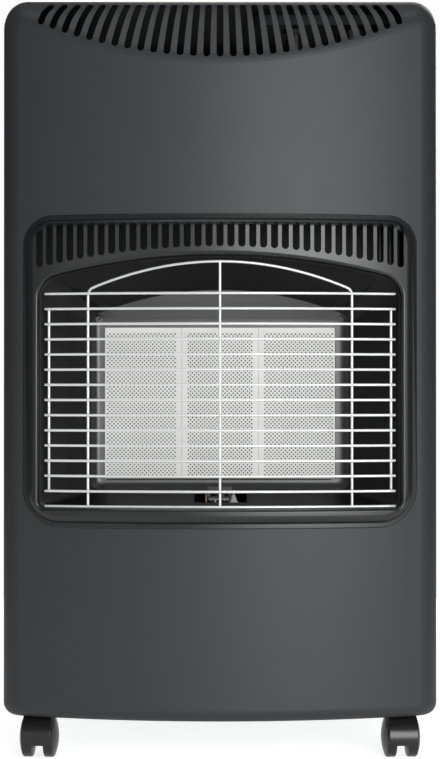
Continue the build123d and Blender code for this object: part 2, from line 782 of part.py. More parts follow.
def pilot_burner():
    """Pilot burner: a level barrel with flame ports on a short riser."""
    x, radius = pilot_items["pilot_burner"]
    y = pilot_y(x)
    left, right = pilot_barrel
    barrel = lying(pilot_barrel_radius, left, right, y, pilot_barrel_z)
    barrel = chamfer(barrel.edges().filter_by(GeomType.CIRCLE), 0.5)
    barrel += upright(radius, x, y, pilot_base_z - 12, pilot_barrel_z)
    barrel += upright(radius + 1, x, y, pilot_base_z + sheet, pilot_base_z + 5)
    for port_x in (left + 3, right - 5, right - 2):
        barrel -= block(port_x - 0.6, port_x + 0.6, y - 5, y, pilot_barrel_z - 1.5, pilot_barrel_z + 1.5)
    return barrel


def thermocouple():
    """Thermocouple: a thin rod with a rounded tip and a stop ring."""
    x, radius = pilot_items["thermocouple"]
    y = pilot_y(x)
    rod_body = upright(radius, x, y, pilot_base_z - 14, 257)
    rod_body = fillet(rod_body.edges().group_by(Axis.Z)[-1], radius * 0.8)
    return rod_body + upright(radius + 1.2, x, y, pilot_base_z + sheet, pilot_base_z + 8)


def spark_electrode():
    """Ceramic sleeve that flares into a cone, with a thin wire out of its tip."""
    x, radius = pilot_items["spark_electrode"]
    y = pilot_y(x)
    sleeve = upright(radius, x, y, pilot_base_z - 16, 248)
    flare = Polyline((0, 247.5), (5.4, 247.5), (5.2, 248.6), (3.0, 251.5), (1.5, 256.3), (0, 256.3), close=True)
    sleeve += Pos(x, y, 0) * revolve(Plane.XZ * make_face(flare.edges()), Axis.Z)
    sleeve += upright(radius + 1, x, y, pilot_base_z + sheet, pilot_base_z + 4)
    return sleeve + upright(0.8, x, y, 256, 261)


def pilot_pipe():
    """Thin tube from the valve to the pilot burner."""
    x, _ = pilot_items["pilot_burner"]
    y = pilot_y(x)
    side_x = width / 2 - 51
    run_z = pilot_base_z - 28
    rise_y = depth_y(shield_depth - tongue - 6)
    over_z = shield_top_z + 6
    points = [(x, y, pilot_base_z - 12), (x, y, run_z), (side_x, y, run_z), (side_x, rise_y, run_z),
              (side_x, rise_y, over_z), (side_x, valve_y - 12, over_z),
              (knob_x, valve_y - 12, over_z), (knob_x, valve_y - 12, valve_top_z - valve_size[2])]
    return pipe(points, 7, pilot_pipe_radius)


# Controls


def gas_valve():
    """Valve block with a round bonnet, bored for the plunger and the spindle."""
    size_x, size_y, size_z = valve_size
    low = valve_top_z - size_z
    body = block(knob_x - size_x / 2, knob_x + size_x / 2, valve_y - size_y / 2, valve_y + size_y / 2, low, valve_top_z)
    body = fillet(body.edges().filter_by(Axis.Z), 5)
    body += upright(bonnet_radius, knob_x, valve_y, valve_top_z, valve_top_z + bonnet_height)
    body -= upright(plunger_radius + running, knob_x, valve_y, plunger_top_z - 22, plunger_top_z + 4)
    return body - upright(spindle_radius + running, knob_x, valve_y, plunger_top_z, recess_z)


def valve_plunger():
    """Plunger that the spindle pushes down to open the pilot's safety valve."""
    return upright(plunger_radius, knob_x, valve_y, plunger_top_z - 10, plunger_top_z)


def valve_spindle():
    """Spindle from the plunger up into the knob."""
    top = recess_z + knob_travel + 1 + knob_height - 5
    return upright(spindle_radius, knob_x, valve_y, plunger_top_z, top)


def control_knob():
    """Turned knob with a grip bar across it and a pointer notch."""
    low = recess_z + knob_travel + 1
    skirt = upright(knob_radius, knob_x, valve_y, low, low + 7)
    skirt = chamfer(skirt.edges().group_by(Axis.Z)[-1], 1.5)
    grip = block(knob_x - 5.5, knob_x + 5.5, valve_y - knob_radius + 3, valve_y + knob_radius - 3, low + 6, low + knob_height)
    grip = fillet(grip.edges().filter_by(Axis.Z), 5)
    grip = fillet(grip.edges().group_by(Axis.Z)[-1], 2)
    hub = upright(8, knob_x, valve_y, low, low + 8)
    knob = skirt - upright(knob_radius - 2, knob_x, valve_y, low - 1, low + 5) + hub + grip
    knob -= upright(spindle_radius, knob_x, valve_y, low - 1, low + knob_height - 5)
    return knob - block(knob_x - 0.8, knob_x + 0.8, valve_y + 9, valve_y + knob_radius, low + knob_height - 1, low + 20)


def hose_inlet():
    """Brass inlet at the valve's rear: a hexagon and a plain tail that the hose pushes onto."""
    y = valve_y + valve_size[1] / 2
    z = valve_top_z - valve_size[2] / 2
    tail = Plane((knob_x, y, z), x_dir=(1, 0, 0), z_dir=(0, 1, 0))
    inlet = extrude(tail * RegularPolygon(8, 6), 9)
    inlet += extrude(tail.offset(9) * Circle(inlet_radius), inlet_length)
    return inlet - extrude(tail.offset(2) * Circle(inlet_radius - 1.5), inlet_length + 9)


def igniter_barrel():
    """Piezo igniter: flanged barrel with a nut under the recess, bored for its button."""
    barrel = upright(igniter_radius, igniter_x, recess_y, recess_z - 46, recess_z)
    barrel += upright(igniter_radius + 3, igniter_x, recess_y, recess_z, recess_z + 2)
    barrel += extrude(Pos(igniter_x, recess_y, recess_z - sheet - 4) * RegularPolygon(13, 6), 4)
    return barrel - upright(button_radius + running, igniter_x, recess_y, recess_z - 18, recess_z + 3)


def igniter_button():
    """Push button of the igniter, with a slightly dished, rounded top."""
    button = upright(button_radius, igniter_x, recess_y, recess_z - 18 + button_travel + 1, recess_z + button_height)
    return fillet(button.edges().group_by(Axis.Z)[-1], 1.5)


# Castors


def castor_place(front, side):
    """Stem position and turn of one castor."""
    y = depth_y(castor_front_depth) if front else castor_rear_y
    turn = side * castor_toe if front else -side * 25
    return Pos(side * castor_x, y, 0) * Rot(0, 0, turn)


def lying(radius, x0, x1, y=0.0, z=wheel_radius):
    """A cylinder along X."""
    return Pos(x0, y, z) * Rot(0, 90, 0) * Cylinder(radius, x1 - x0, align=(Align.CENTER, Align.CENTER, Align.MIN))


def castor_hood():
    """Hood over both treads: curved guard, web between the wheels and a boss for the stem."""
    axle_y = -castor_trail
    outer = wheel_radius + hood_gap + hood_wall
    top = skirt_z - castor_headroom
    wide = hood_half + wheel_dome
    shell = lying(outer, -hood_half, hood_half, axle_y)
    shell = fillet(shell.edges().filter_by(GeomType.CIRCLE), hood_edge)
    boss = upright(stem_radius + 4.5, 0, 0, wheel_radius, top)
    form = (shell + boss) & block(-wide, wide, -100, 100, wheel_radius - hood_reach, top)
    hood = form - lying(wheel_radius + hood_gap, -wide, -web_half, axle_y)
    hood -= lying(wheel_radius + hood_gap, web_half, wide, axle_y)
    hood -= block(-wide, -web_half, axle_y, 100, 0, wheel_radius + 8)
    hood -= block(web_half, wide, axle_y, 100, 0, wheel_radius + 8)
    hood -= lying(axle_radius, -wide, wide, axle_y)
    return hood - upright(stem_radius, 0, 0, top - 6, top + 1)


def castor_wheel(side):
    """One wheel: tread, coned inner face, domed outer face and a blind axle bore."""
    inner = web_half + wheel_gap
    tread = inner + wheel_tread
    face = tread + wheel_dome
    r = wheel_radius
    rim = (r - 1, tread + 0.4)
    rise = face - rim[1]
    ball = (rim[0] ** 2 + rise**2) / 2 / rise
    half_way = (rim[0] / 2, face - ball + sqrt(ball**2 - rim[0] ** 2 / 4))
    outline = Polyline((0, face), (0, inner), (wheel_hub_radius, inner), (r - 0.6, inner + wheel_taper),
                       (r, inner + wheel_taper + 0.8), (r, tread - 0.8), rim)
    outline += ThreePointArc(rim, half_way, (0, face))
    wheel = revolve(Plane.XZ * make_face(outline.edges()), Axis.Z)
    wheel -= upright(axle_radius + running, 0, 0, 0, tread + running)
    turned = Rot(0, side * 90, 0) * wheel
    return Pos(0, -castor_trail, wheel_radius) * turned


def castor_axle():
    """Steel axle pressed through the hood's web."""
    reach = web_half + wheel_gap + wheel_tread
    return lying(axle_radius, -reach, reach, -castor_trail)


def castor_stem():
    """Steel stem from the hood's boss up into the tray's socket."""
    top = skirt_z - castor_headroom
    stem = upright(stem_radius, 0, 0, top - 6, top - 6 + stem_length)
    return chamfer(stem.edges().group_by(Axis.Z)[-1], 1)


def castor_sockets():
    """Flanged sleeves pressed into the tray, one for each castor stem."""
    top = skirt_z - castor_headroom - 6 + stem_length + 2
    sockets = []
    for front in (True, False):
        for side in (-1, 1):
            x = side * castor_x
            y = depth_y(castor_front_depth) if front else castor_rear_y
            sleeve = upright(stem_radius + running + socket_wall, x, y, skirt_z, top)
            sleeve += upright(socket_flange_radius, x, y, skirt_z, tray_z)
            sockets.append(sleeve - upright(stem_radius + running, x, y, skirt_z - 1, top - 1))
    return sockets


# Every node by name
nodes = {
    "front_panel": front_panel(),
    "side_panel_left": side_panel(-1),
    "side_panel_right": side_panel(1),
    "top_panel": top_panel(),
    "base_tray": base_tray(),
    "heat_shield": heat_shield(),
    "rear_rail": rear_rail(),
    "rear_panel": rear_panel(),
    "casing_screws": casing_screws(),
    "bezel": bezel(),
    "firebox_liner": firebox_liner(),
    "burner_frame": burner_frame(),
    "burner_body": burner_body(),
    "injectors": injectors(),
    "injector_bracket": injector_bracket(),
    "guard_horizontal_wires": guard_horizontal_wires(),
    "guard_upright_wires": guard_upright_wires(),
    "pilot_bracket": pilot_bracket(),
    "pilot_burner": pilot_burner(),
    "thermocouple": thermocouple(),
    "spark_electrode": spark_electrode(),
    "pilot_pipe": pilot_pipe(),
    "gas_valve": gas_valve(),
    "valve_plunger": valve_plunger(),
    "valve_spindle": valve_spindle(),
    "control_knob": control_knob(),
    "hose_inlet": hose_inlet(),
    "igniter_barrel": igniter_barrel(),
    "igniter_button": igniter_button(),
    "castor_sockets": castor_sockets(),
}
for number, place in enumerate(("left", "centre", "right")):
    nodes[f"plaque_{place}"] = plaque(number)
    nodes[f"venturi_{place}"] = venturi(number)
    nodes[f"gas_pipe_{place}"] = gas_pipe(number)
for end, is_front in (("front", True), ("rear", False)):
    for hand, sign in (("left", -1), ("right", 1)):
        at = castor_place(is_front, sign)
        nodes[f"castor_hood_{end}_{hand}"] = at * castor_hood()
        nodes[f"castor_stem_{end}_{hand}"] = at * castor_stem()
        nodes[f"castor_axle_{end}_{hand}"] = at * castor_axle()
        nodes[f"wheel_left_{end}_{hand}"] = at * castor_wheel(-1)
        nodes[f"wheel_right_{end}_{hand}"] = at * castor_wheel(1)

os.makedirs("parts", exist_ok=True)
for name, shape in nodes.items():
    solids = shape if isinstance(shape, list) else shape.solids()
    export_step(Compound(children=[solid for item in solids for solid in item.solids()]), f"parts/{name}.step")
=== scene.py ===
import math

import bpy
from mathutils import Matrix, Vector


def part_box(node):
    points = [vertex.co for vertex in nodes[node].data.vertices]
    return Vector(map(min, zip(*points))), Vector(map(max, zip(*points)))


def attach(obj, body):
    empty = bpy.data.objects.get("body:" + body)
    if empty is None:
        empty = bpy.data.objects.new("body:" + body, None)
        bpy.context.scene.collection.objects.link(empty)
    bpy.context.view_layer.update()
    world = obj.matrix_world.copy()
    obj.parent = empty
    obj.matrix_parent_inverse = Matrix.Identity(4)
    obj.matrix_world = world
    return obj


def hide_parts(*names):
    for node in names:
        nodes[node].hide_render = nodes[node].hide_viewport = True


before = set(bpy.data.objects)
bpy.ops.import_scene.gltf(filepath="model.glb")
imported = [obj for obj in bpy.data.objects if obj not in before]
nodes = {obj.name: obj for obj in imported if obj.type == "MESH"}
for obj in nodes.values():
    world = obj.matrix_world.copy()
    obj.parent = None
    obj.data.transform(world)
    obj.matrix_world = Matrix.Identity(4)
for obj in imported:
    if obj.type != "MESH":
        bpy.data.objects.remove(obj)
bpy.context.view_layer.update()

# ---- View -----------------------------------------------------------------
# The heater is photographed square on from the middle of its front, a little
# under two metres away, with the lens all but level, at about half its height.

PHOTO_HEIGHT = 759  # pixels
FOCAL_PIXELS = 1954.0
LENS_HEIGHT = 0.358
LENS_TO_PANEL = 1.850
TILT_UP = math.radians(0.31)
panel_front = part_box("front_panel")[0].y

lens = bpy.data.cameras.new("studio_camera")
lens.sensor_width = 36.0
lens.lens = FOCAL_PIXELS / PHOTO_HEIGHT * lens.sensor_width
camera = bpy.data.objects.new("studio_camera", lens)
bpy.context.scene.collection.objects.link(camera)
camera.location = (0.0, panel_front - LENS_TO_PANEL, LENS_HEIGHT)
camera.rotation_euler = (math.pi / 2 + TILT_UP, 0.0, 0.0)
bpy.context.scene.camera = camera
bpy.context.scene.view_settings.view_transform = "Standard"

# ---- Studio ---------------------------------------------------------------
# A white sweep with no visible horizon, one broad soft box in front, a little
# to the right, and fills at the left, above and behind. Mirrored in the metal
# the room is dim, and white only straight behind the heater.


def srgb(code):
    """Linear colour of an sRGB hex code."""
    channels = [int(code[i : i + 2], 16) / 255 for i in (1, 3, 5)]
    linear = [c / 12.92 if c <= 0.04045 else ((c + 0.055) / 1.055) ** 2.4 for c in channels]
    return (*linear, 1.0)


def add_node(tree, kind, settings=(), inputs=(), links=()):
    """A shader node with its settings, fixed inputs and links from other nodes' outputs."""
    node = tree.nodes.new(kind)
    for name, value in dict(settings).items():
        setattr(node, name, value)
    for name, value in dict(inputs).items():
        node.inputs[name].default_value = value
    for name, (source, output) in dict(links).items():
        tree.links.new(source.outputs[output], node.inputs[name])
    return node


def deselect():
    bpy.ops.object.select_all(action="DESELECT")


def soft_box(name, azimuth, elevation, distance, size, power):
    """A rectangular area lamp that faces the heater, its azimuth turned from the front to the right."""
    data = bpy.data.lights.new(name, "AREA")
    data.shape = "RECTANGLE"
    data.size, data.size_y = size
    data.energy = power
    lamp = bpy.data.objects.new(name, data)
    bpy.context.scene.collection.objects.link(lamp)
    middle = Vector((0.0, 0.0, 0.37))
    turn, rise = math.radians(azimuth), math.radians(elevation)
    towards = Vector((math.sin(turn) * math.cos(rise), -math.cos(turn) * math.cos(rise), math.sin(rise)))
    lamp.location = middle + distance * towards
    lamp.rotation_euler = (-towards).to_track_quat("-Z", "Y").to_euler()
    return lamp


soft_box("key_soft_box", 18.5, 7, 2.6, (1.46, 1.25), 46)
soft_box("left_fill", -27, 8, 2.6, (0.9, 1.2), 4.5)
soft_box("top_fill", 10, 80, 2.2, (1.2, 1.2), 7)
soft_box("rear_fill", 165, 25, 2.6, (1.6, 1.4), 26)

deselect()
bpy.ops.mesh.primitive_plane_add(size=2.4, location=(0.0, 0.1, 0.0))
floor = bpy.context.object
floor.name = "studio_floor"
paper = bpy.data.materials.new("white_paper_sweep")
paper.use_nodes = True
tree = paper.node_tree
tree.nodes.clear()
# the paper glows where it is seen directly, so that it shows white, and more faintly where it is mirrored
# or seen through glass; to all other light it is plain paper
rays = add_node(tree, "ShaderNodeLightPath")
either = add_node(tree, "ShaderNodeMath", {"operation": "MAXIMUM"},
                  links={0: (rays, "Is Camera Ray"), 1: (rays, "Is Glossy Ray")})
seen = add_node(tree, "ShaderNodeMath", {"operation": "MAXIMUM"},
                links={0: (either, "Value"), 1: (rays, "Is Transmission Ray")})
matt = add_node(tree, "ShaderNodeBsdfDiffuse", inputs={"Color": srgb("#DEDEDE")})
glow = add_node(tree, "ShaderNodeMapRange", inputs={3: 0.42, 4: 0.80}, links={0: (rays, "Is Camera Ray")})
white = add_node(tree, "ShaderNodeEmission", inputs={"Color": (1.0, 1.0, 1.0, 1.0)},
                 links={"Strength": (glow, "Result")})
lit = add_node(tree, "ShaderNodeAddShader", links={0: (matt, "BSDF"), 1: (white, "Emission")})
mix = add_node(tree, "ShaderNodeMixShader", links={0: (seen, "Value"), 1: (matt, "BSDF"), 2: (lit, "Shader")})
add_node(tree, "ShaderNodeOutputMaterial", links={"Surface": (mix, "Shader")})
floor.data.materials.append(paper)

world = bpy.data.worlds.new("studio_air")
bpy.context.scene.world = world
world.use_nodes = True
tree = world.node_tree
tree.nodes.clear()
rays = add_node(tree, "ShaderNodeLightPath")
place = add_node(tree, "ShaderNodeTexCoord")
axes = add_node(tree, "ShaderNodeSeparateXYZ", links={0: (place, "Generated")})
depth = add_node(tree, "ShaderNodeMapRange", inputs={1: 0.9, 2: 1.0, 3: 0.12, 4: 1.0}, links={0: (axes, "Y")})
mirrored = add_node(tree, "ShaderNodeMath", {"operation": "MAXIMUM"},
                    links={0: (rays, "Is Glossy Ray"), 1: (rays, "Is Transmission Ray")})
dim = add_node(tree, "ShaderNodeBackground", inputs={"Color": (1.0, 1.0, 1.0, 1.0), "Strength": 0.26})
room = add_node(tree, "ShaderNodeBackground", inputs={"Color": (1.0, 1.0, 1.0, 1.0)},
                links={"Strength": (depth, "Result")})
white = add_node(tree, "ShaderNodeBackground", inputs={"Color": (1.0, 1.0, 1.0, 1.0), "Strength": 1.0})
unseen = add_node(tree, "ShaderNodeMixShader",
                  links={0: (mirrored, "Value"), 1: (dim, "Background"), 2: (room, "Background")})
mix = add_node(tree, "ShaderNodeMixShader",
               links={0: (rays, "Is Camera Ray"), 1: (unseen, "Shader"), 2: (white, "Background")})
add_node(tree, "ShaderNodeOutputWorld", links={"Surface": (mix, "Shader")})

# ---- Casing ---------------------------------------------------------------
# The bowed front, sides, top and rear are 1.2 mm steel sheet, pressed and
# then powder coated in a satin anthracite.

MILLIMETRE = 0.001


def finish(name, colour, roughness, grain, variation, uneven, metallic=0.0, specular=0.5):
    """A surface with a fine grain (size in mm, strength), slow changes of tone and slightly uneven gloss."""
    material = bpy.data.materials.new(name)
    material.use_nodes = True
    tree = material.node_tree
    shader = tree.nodes["Principled BSDF"]
    shader.inputs["Metallic"].default_value = metallic
    shader.inputs["Specular IOR Level"].default_value = specular
    place = add_node(tree, "ShaderNodeTexCoord")
    cloud = add_node(tree, "ShaderNodeTexNoise", inputs={"Scale": 11.0, "Detail": 4.0},
                     links={"Vector": (place, "Object")})
    base = srgb(colour)[:3]
    tone = add_node(tree, "ShaderNodeMix", {"data_type": "RGBA"}, links={0: (cloud, "Fac")})
    tone.inputs[6].default_value = (*[c * (1 - variation) for c in base], 1.0)
    tone.inputs[7].default_value = (*[min(1.0, c * (1 + variation)) for c in base], 1.0)
    tree.links.new(tone.outputs[2], shader.inputs["Base Color"])
    size, strength = grain
    speck = add_node(tree, "ShaderNodeTexNoise", inputs={"Scale": 1 / (size * MILLIMETRE), "Detail": 2.0},
                     links={"Vector": (place, "Object")})
    gloss = add_node(tree, "ShaderNodeMapRange", inputs={3: roughness - uneven, 4: roughness + uneven},
                     links={0: (speck, "Fac")})
    tree.links.new(gloss.outputs["Result"], shader.inputs["Roughness"])
    relief = add_node(tree, "ShaderNodeBump", inputs={"Strength": strength, "Distance": 0.1 * MILLIMETRE},
                      links={"Height": (speck, "Fac")})
    tree.links.new(relief.outputs["Normal"], shader.inputs["Normal"])
    return material


def dress(material, *names):
    """Gives CAD nodes a material."""
    for name in names:
        mesh = nodes[name].data
        mesh.materials.clear()
        mesh.materials.append(material)


# powder coat: a fine orange peel about a millimetre across and a broad, dull sheen
casing_coat = finish("anthracite_powder_coat", "#2B2D30", 0.50, (0.9, 0.14), 0.05, 0.05, specular=0.5)
dress(casing_coat, "front_panel", "side_panel_left", "side_panel_right", "top_panel", "rear_panel")

# ---- Bezel ----------------------------------------------------------------
# The surround of the firebox is thin pressed sheet in a glossy black enamel
# that stands the heat. Above the middle its outer foot is dressed down to half
# its height at the edge.

BOW = 571.0 * MILLIMETRE
BEZEL_HALF = 189.5 * MILLIMETRE
FOOT_WIDTH = 4.5 * MILLIMETRE
FOOT_PROUD = 1.8 * MILLIMETRE
TOP_CORNER = 28.0 * MILLIMETRE
BOTTOM_CORNER = 37.0 * MILLIMETRE

black_enamel = finish("black_heatproof_enamel", "#161719", 0.34, (0.7, 0.05), 0.04, 0.04, specular=0.6)


def plain_copy(node, name):
    """An own copy of a CAD node with the exact shading it came with."""
    piece = nodes[node].copy()
    piece.data = nodes[node].data.copy()
    piece.name = name
    bpy.context.scene.collection.objects.link(piece)
    return piece


def copy_of(node, name):
    """An own copy of a CAD node, its loose triangles merged and joined into flat faces."""
    piece = plain_copy(node, name)
    deselect()
    piece.select_set(True)
    bpy.context.view_layer.objects.active = piece
    bpy.ops.object.mode_set(mode="EDIT")
    bpy.ops.mesh.select_all(action="SELECT")
    bpy.ops.mesh.remove_doubles(threshold=0.00001)
    bpy.ops.mesh.dissolve_limited(angle_limit=math.radians(0.5))
    bpy.ops.object.mode_set(mode="OBJECT")
    return piece


def settle(piece):
    """Puts a piece's place, turn and size into its mesh."""
    deselect()
    piece.select_set(True)
    bpy.context.view_layer.objects.active = piece
    bpy.ops.object.transform_apply(location=True, rotation=True, scale=True)


def apply(piece, kind, **settings):
    """Adds a modifier and applies it."""
    deselect()
    piece.select_set(True)
    bpy.context.view_layer.objects.active = piece
    modifier = piece.modifiers.new(kind.lower(), kind)
    for name, value in settings.items():
        setattr(modifier, name, value)
    bpy.ops.object.modifier_apply(modifier=modifier.name)


def smooth(piece, degrees=40):
    deselect()
    piece.select_set(True)
    bpy.context.view_layer.objects.active = piece
    bpy.ops.object.shade_smooth_by_angle(angle=math.radians(degrees))


bezel_low, bezel_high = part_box("bezel")
FOOT_LEVEL = (bezel_low.z + bezel_high.z) / 2


def inside_bezel(x, z):
    """How far a point of the front view lies inside the bezel's outline."""
    low, high = bezel_low.z, bezel_high.z
    middle = (low + high) / 2
    corner = TOP_CORNER if z > middle else BOTTOM_CORNER
    across = abs(x) - (BEZEL_HALF - corner)
    along = abs(z - middle) - ((high - low) / 2 - corner)
    if across > 0 and along > 0:
        return corner - math.hypot(across, along)
    return corner - max(across, along)


surround = plain_copy("bezel", "enamelled_bezel")
for vertex in surround.data.vertices:
    x, y, z = vertex.co
    back = y - panel_front - BOW
    radius = math.hypot(x, back)
    proud = radius - BOW
    share = inside_bezel(x, z) / FOOT_WIDTH
    if z > FOOT_LEVEL and share < 0.97 and 0.2 * MILLIMETRE < proud < 1.1 * FOOT_PROUD:
        pressed = BOW + proud * (0.5 + 0.5 * max(share, 0.0) ** 2)
        vertex.co.x, vertex.co.y = x * pressed / radius, panel_front + BOW + back * pressed / radius
surround.data.materials.clear()
surround.data.materials.append(black_enamel)
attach(surround, "cabinet")
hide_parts("bezel")

# ---- Firebox liner --------------------------------------------------------
# A black funnel of sheet leads from the mouth back to the burner. Its ceiling
# is arched at the rear, where it meets the burner frame.

ARCH_RISE = 7.0 * MILLIMETRE
ARCH_DROP = 17.0 * MILLIMETRE
ARCH_LEVEL = 436.0 * MILLIMETRE
STRIP = 9.5 * MILLIMETRE
FRAME_HALF = 126.0 * MILLIMETRE
FRAME_DEPTH = 60.0 * MILLIMETRE
LINER_DEPTH = 30.0 * MILLIMETRE
FRAME_BEVEL = 6.0 * MILLIMETRE

# the same black enamel as the bezel, painted darker and duller inside: a painted shade for the dim firebox
# recess
shaded_liner_enamel = finish("black_enamel_with_painted_shade_inside", "#0C0C0D", 0.46, (0.7, 0.1), 0.06, 0.04, specular=0.3)


def arch(piece, lowest, weight):
    """Cuts the sheet into strips and bends its top edge into an arch, by a weight that depends on depth."""
    deselect()
    piece.select_set(True)
    bpy.context.view_layer.objects.active = piece
    bpy.ops.object.mode_set(mode="EDIT")
    for step in range(-12, 13):
        bpy.ops.mesh.select_all(action="SELECT")
        bpy.ops.mesh.bisect(plane_co=(step * STRIP, 0.0, 0.0), plane_no=(1.0, 0.0, 0.0))
    bpy.ops.object.mode_set(mode="OBJECT")
    for vertex in piece.data.vertices:
        if vertex.co.z > lowest:
            lift = ARCH_RISE - (ARCH_RISE + ARCH_DROP) * min(1.0, abs(vertex.co.x) / FRAME_HALF) ** 2
            vertex.co.z += lift * min(1.0, max(0.0, weight(vertex.co.y - panel_front)))


liner = copy_of("firebox_liner", "enamelled_firebox_liner")
arch(liner, ARCH_LEVEL, lambda depth: (depth - LINER_DEPTH) / (FRAME_DEPTH - LINER_DEPTH))
smooth(liner, 30)
liner.data.materials.clear()
liner.data.materials.append(shaded_liner_enamel)
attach(liner, "cabinet")
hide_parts("firebox_liner")

# ---- Burner frame ---------------------------------------------------------
# A pressed stainless frame with a deep arched hood holds the plaques. Its
# folds are soft, and heat has dulled it to a dark even grey.

dulled_steel = finish("heat_dulled_stainless", "#5E5E5F", 0.42, (1.2, 0.03), 0.1, 0.03, metallic=1.0)

surface = copy_of("burner_frame", "pressed_burner_frame")
arch(surface, ARCH_LEVEL, lambda depth: (FRAME_DEPTH + FRAME_BEVEL - depth) / FRAME_BEVEL)
bpy.ops.object.mode_set(mode="EDIT")
bpy.ops.mesh.select_mode(type="EDGE")
bpy.ops.mesh.select_all(action="DESELECT")
bpy.ops.object.mode_set(mode="OBJECT")
WINDOW_LOW, WINDOW_HIGH = 269.0 * MILLIMETRE, 423.5 * MILLIMETRE
fold = panel_front + FRAME_DEPTH + FRAME_BEVEL
window_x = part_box("burner_body")[1].x
for edge in surface.data.edges:
    ends = [surface.data.vertices[index].co for index in edge.vertices]
    on_fold = all(abs(end.y - fold) < 0.05 * MILLIMETRE for end in ends)
    centre = (ends[0] + ends[1]) / 2
    outside = abs(centre.x) > window_x + 2 * MILLIMETRE or not WINDOW_LOW < centre.z < WINDOW_HIGH
    edge.select = on_fold and outside and abs(centre.x) < FRAME_HALF - 4 * MILLIMETRE
bpy.ops.object.mode_set(mode="EDIT")
bpy.ops.mesh.bevel(offset=2.4 * MILLIMETRE, segments=5, affect="EDGES", clamp_overlap=False)
bpy.ops.object.mode_set(mode="OBJECT")
smooth(surface, 40)
surface.data.materials.clear()
surface.data.materials.append(dulled_steel)
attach(surface, "cabinet")
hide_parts("burner_frame")

# ---- Plaques --------------------------------------------------------------
# Three fired ceramic tiles side by side. Each has a plain border round a field
# of staggered holes that the gas burns over. The real holes are 1.3 mm wide and
# 2.5 mm apart, which is too fine to show here, so they are drawn coarser.

HOLE_PITCH = 4.0 * MILLIMETRE
HOLE_RADIUS = 0.85 * MILLIMETRE
HOLE_DEPTH = 2.6 * MILLIMETRE
FIELD_JOINT = 4.9 * MILLIMETRE
FIELD_OUTSIDE = 1.2 * MILLIMETRE
FIELD_TOP = 4.2 * MILLIMETRE
FIELD_BOTTOM = 2.4 * MILLIMETRE
PIN_LENGTH = 10.0 * MILLIMETRE
row_pitch = HOLE_PITCH / 2

# unglazed, slightly chalky ceramic
ceramic = finish("unglazed_white_ceramic", "#F0F0EE", 0.88, (0.5, 0.25), 0.03, 0.05, specular=0.3)
# the pits' walls and floors are painted darker than the tile's face: a painted shade for the depth of the
# real hole, which leads to the dark mixing chamber
hole_shade = finish("shaded_ceramic_holes", "#63635F", 0.9, (0.5, 0.2), 0.05, 0.05, specular=0.2)

for place in ("left", "centre", "right"):
    low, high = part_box(f"plaque_{place}")
    deselect()
    bpy.ops.mesh.primitive_cube_add(size=1.0, location=(low + high) / 2, scale=high - low)
    tile = bpy.context.object
    tile.name = f"ceramic_plaque_{place}"
    settle(tile)
    apply(tile, "BEVEL", width=0.2 * MILLIMETRE, segments=2)
    field_left = low.x + (FIELD_OUTSIDE if place == "left" else FIELD_JOINT)
    field_right = high.x - (FIELD_OUTSIDE if place == "right" else FIELD_JOINT)
    across = round((field_right - field_left - 2 * HOLE_RADIUS) / HOLE_PITCH + 0.5)
    rows = int((high.z - low.z - FIELD_TOP - FIELD_BOTTOM - 2 * HOLE_RADIUS) / row_pitch) // 2 + 1
    start = Vector(((field_left + field_right) / 2 - (across - 0.5) * HOLE_PITCH / 2,
                    low.y + HOLE_DEPTH - PIN_LENGTH / 2, low.z + FIELD_BOTTOM + HOLE_RADIUS))
    deselect()
    bpy.ops.mesh.primitive_cylinder_add(vertices=6, radius=HOLE_RADIUS, depth=PIN_LENGTH, location=start,
                                        rotation=(math.pi / 2, 0.0, 0.0))
    pins = bpy.context.object
    settle(pins)
    apply(pins, "ARRAY", count=2, use_relative_offset=False, use_constant_offset=True,
          constant_offset_displace=(HOLE_PITCH / 2, 0.0, row_pitch))
    apply(pins, "ARRAY", count=across, use_relative_offset=False, use_constant_offset=True,
          constant_offset_displace=(HOLE_PITCH, 0.0, 0.0))
    apply(pins, "ARRAY", count=rows, use_relative_offset=False, use_constant_offset=True,
          constant_offset_displace=(0.0, 0.0, 2 * row_pitch))
    apply(tile, "BOOLEAN", operation="DIFFERENCE", object=pins, solver="MANIFOLD")
    bpy.data.objects.remove(pins)
    tile.data.materials.clear()
    tile.data.materials.append(ceramic)
    tile.data.materials.append(hole_shade)
    # faces inside the pits take the painted shade
    for face in tile.data.polygons:
        inside = low.x + 0.5 * MILLIMETRE < face.center.x < high.x - 0.5 * MILLIMETRE
        inside = inside and low.z + 0.5 * MILLIMETRE < face.center.z < high.z - 0.5 * MILLIMETRE
        if inside and low.y + 0.5 * MILLIMETRE < face.center.y < low.y + 1.1 * HOLE_DEPTH:
            face.material_index = 1
    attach(tile, "cabinet")
    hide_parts(f"plaque_{place}")

# ---- Guard ----------------------------------------------------------------
# Fifteen bowed wires are spot-welded in front of an arched loop, a middle
# upright and two outer uprights, whose legs bend back into the firebox. It is
# 2.6 mm steel wire, bright zinc plated after welding.

WIRE = 2.6 * MILLIMETRE
WIRE_COUNT = 15
WIRE_PITCH = 14.53 * MILLIMETRE
GUARD_BOW = 700.0 * MILLIMETRE
GUARD_HALF = 168.3 * MILLIMETRE
LOOP_X = 126.2 * MILLIMETRE
OUTER_X = 164.2 * MILLIMETRE
LOOP_TOP = 480.5 * MILLIMETRE
LOOP_SHOULDER = 454.0 * MILLIMETRE
SHOULDER_BEND = 5.0 * MILLIMETRE
LEG_BEND = 2.6 * MILLIMETRE
guard_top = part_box("guard_horizontal_wires")[1].z - WIRE / 2
guard_low = guard_top - (WIRE_COUNT - 1) * WIRE_PITCH
bow_centre = panel_front + 4.0 * MILLIMETRE + GUARD_BOW
half_turn = math.asin(GUARD_HALF / GUARD_BOW)

# bright zinc: a hard, slightly milky shine, whiter than chrome
zinc_wire = finish("bright_zinc_plated_wire", "#F0F1F1", 0.30, (1.4, 0.04), 0.02, 0.05, metallic=0.45)


